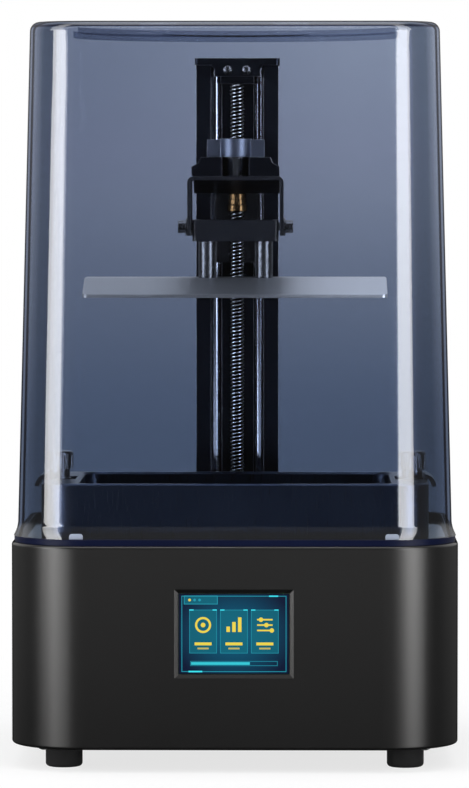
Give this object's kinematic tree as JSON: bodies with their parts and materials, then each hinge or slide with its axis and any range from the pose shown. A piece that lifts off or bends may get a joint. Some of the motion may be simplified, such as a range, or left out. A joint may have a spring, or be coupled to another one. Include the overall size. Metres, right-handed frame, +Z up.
{
  "type": "resin printer",
  "caption": "Desktop resin printer: rounded base with touch screen, vat on the deck, build plate on a screw-driven arm, and a tinted lift-off cover.",
  "frame": {"origin": "centre of the footprint, on the surface the feet stand on", "axes": "+Z up, the touch screen faces -Y, +X is to the right seen from the front"},
  "size_m": [0.2346, 0.2292, 0.39],
  "materials": {
    "shell_black": "fine textured, matte",
    "bottom_steel": "powder coated, matte",
    "foot_rubber": "matte",
    "screw_zinc": "zinc plated",
    "deck_gloss": "polished, dark",
    "screen_glass": "glossy glass over a lit display",
    "circuit_green": "solder mask",
    "mask_screen": "polished glass",
    "hood_metal": "satin",
    "lens_clear": "clear, ribbed",
    "led_board": "white solder mask",
    "sink_aluminium": "matte extruded",
    "fan_plastic": "moulded",
    "socket_black": "moulded",
    "port_shell": "stamped shell",
    "brass": "turned",
    "motor_black": "black laminations",
    "mount_steel": "bent sheet",
    "coupling_aluminium": "turned",
    "shaft_steel": "ground",
    "column_anodised": "black anodised",
    "rod_chrome": "hardened, polished",
    "arm_anodised": "black anodised, machined",
    "slide_composite": "dark composite",
    "screw_black": "black oxide",
    "plate_aluminium": "satin anodised",
    "bracket_black": "black, satin",
    "vat_anodised": "black anodised, satin",
    "film_clear": "clear release film",
    "frame_steel": "satin",
    "thumb_black": "black anodised, fluted",
    "cover_tinted": "tinted acrylic, polished",
    "seal_black": "soft"
  },
  "bodies": {
    "base": {"base_shell": "shell_black", "bottom_plate": "bottom_steel", "rubber_feet": "foot_rubber", "foot_screws": "screw_zinc", "deck_plate": "deck_gloss", "touch_glass": "screen_glass", "display_module": "circuit_green", "mask_lcd": "mask_screen", "light_hood": "hood_metal", "fresnel_lens": "lens_clear", "uv_led_board": "led_board", "heat_sink": "sink_aluminium", "fan_frame": "fan_plastic", "main_board": "circuit_green", "board_standoffs": "brass", "dc_inlet": "socket_black", "usb_port": "port_shell", "switch_housing": "socket_black", "z_motor": "motor_black", "motor_mount": "mount_steel", "screw_bearing": "screw_black", "column": "column_anodised", "column_foot": "bracket_black", "guide_rods": "rod_chrome", "rod_holders": "arm_anodised", "column_cap": "column_anodised", "cap_screws": "screw_black", "limit_sensor": "socket_black"},
    "fan": {"fan_rotor": "fan_plastic"},
    "rocker": {"power_rocker": "socket_black"},
    "screw": {"lead_screw": "shaft_steel", "shaft_coupling": "coupling_aluminium", "motor_shaft": "shaft_steel"},
    "carriage": {"slide_block": "slide_composite", "fork_arm": "arm_anodised", "brass_nut": "brass", "limit_flag": "mount_steel"},
    "head": {"clamp_collar": "arm_anodised", "outer_bracket": "bracket_black"},
    "knob": {"platform_knob": "arm_anodised"},
    "plate": {"build_plate": "plate_aluminium", "plate_posts": "arm_anodised", "inner_tray": "bracket_black", "side_washers": "screw_black", "side_screws": "screw_black"},
    "vat": {"vat_body": "vat_anodised", "vat_film": "film_clear", "film_frame": "frame_steel"},
    "thumb_left": {"vat_thumb_left": "thumb_black"},
    "thumb_right": {"vat_thumb_right": "thumb_black"},
    "lid": {"cover": "cover_tinted", "cover_seal": "seal_black"}
  },
  "joints": [
    {"name": "cover_lift", "type": "slide", "parent": "base", "child": "lid", "axis": [0, 0, 1], "range_m": [0, 0.27]},
    {"name": "z_slide", "type": "slide", "parent": "base", "child": "carriage", "axis": [0, 0, 1], "range_m": [-0.126, 0.0385]},
    {"name": "lead_screw_turn", "type": "hinge", "parent": "base", "child": "screw", "pos_m": [0, 0.035, 0], "axis": [0, 0, 1], "range_deg": [-3500, 11400]},
    {"name": "platform_pull", "type": "slide", "parent": "carriage", "child": "head", "axis": [0, -1, 0], "range_m": [0, 0.026]},
    {"name": "knob_turn", "type": "hinge", "parent": "head", "child": "knob", "pos_m": [0, -0.0311, 0.32], "axis": [0, 0, 1], "range_deg": [0, 540]},
    {"name": "plate_level", "type": "slide", "parent": "head", "child": "plate", "axis": [0, 0, 1], "range_m": [0, 0.002]},
    {"name": "vat_lift", "type": "slide", "parent": "base", "child": "vat", "axis": [0, 0, 1], "range_m": [0, 0.06]},
    {"name": "thumb_left_turn", "type": "hinge", "parent": "vat", "child": "thumb_left", "pos_m": [-0.0941, -0.0311, 0.15], "axis": [0, 0, 1], "range_deg": [0, 720]},
    {"name": "thumb_right_turn", "type": "hinge", "parent": "vat", "child": "thumb_right", "pos_m": [0.0941, -0.0311, 0.15], "axis": [0, 0, 1], "range_deg": [0, 720]},
    {"name": "rocker_tilt", "type": "hinge", "parent": "base", "child": "rocker", "pos_m": [0.055, 0.1075, 0.054], "axis": [0, 0, 1], "range_deg": [0, 14]},
    {"name": "fan_spin", "type": "hinge", "parent": "base", "child": "fan", "pos_m": [-0.04625, 0.104, 0.062], "axis": [0, 1, 0], "continuous": true}
  ],
  "couplings": [
    {"joint": "lead_screw_turn", "follows": "z_slide", "rad_per_m": -1570.8}
  ]
}
